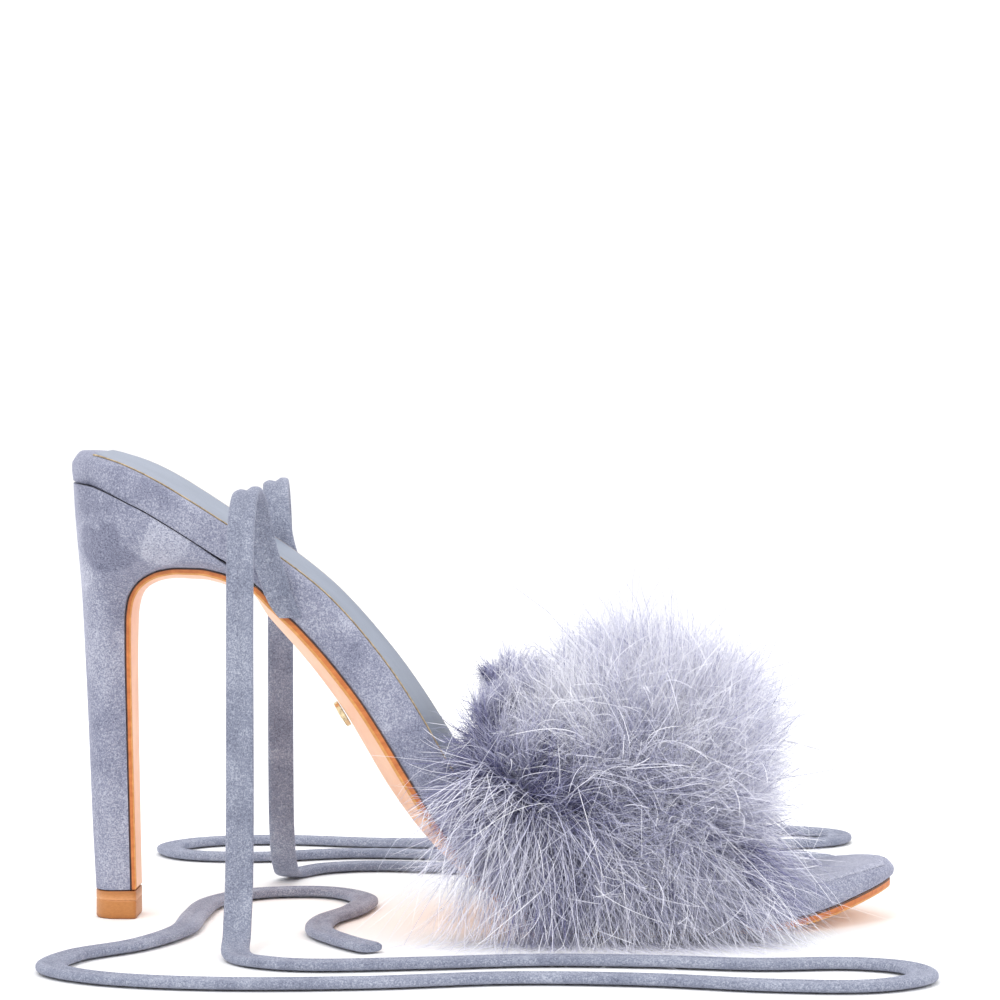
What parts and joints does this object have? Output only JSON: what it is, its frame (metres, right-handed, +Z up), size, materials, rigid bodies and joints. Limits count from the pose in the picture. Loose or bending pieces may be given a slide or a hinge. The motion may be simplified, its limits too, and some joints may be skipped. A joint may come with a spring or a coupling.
{
  "type": "high heel shoe",
  "caption": "Right high heel sandal with a feathered forefoot band, suede footbed and stiletto heel, tan leather sole and long flat leg ties.",
  "frame": {"origin": "middle of the shoe's footprint on the floor, the leg ties left out", "axes": "+X to the toe, +Y to the inner side of the foot, +Z up"},
  "size_m": [0.2158, 0.3053, 0.123],
  "materials": {
    "suede": "slate lavender suede with brushed patches",
    "sock_leather": "smooth blue-grey lining leather",
    "sole_leather": "peach tan sole leather with a dark stained edge",
    "heel_tip": "tan hard rubber, satin",
    "feather": "lavender grey down feather with pale tips",
    "stud_metal": "polished pale gold"
  },
  "bodies": {
    "root": {"footbed": "suede", "sock": "sock_leather", "outsole": "sole_leather", "heel": "suede", "heel_tip": "heel_tip", "vamp_band": "suede", "feather_trim": "feather", "sole_stud": "stud_metal", "tie_outer": "suede", "tie_inner": "suede"}
  },
  "joints": []
}
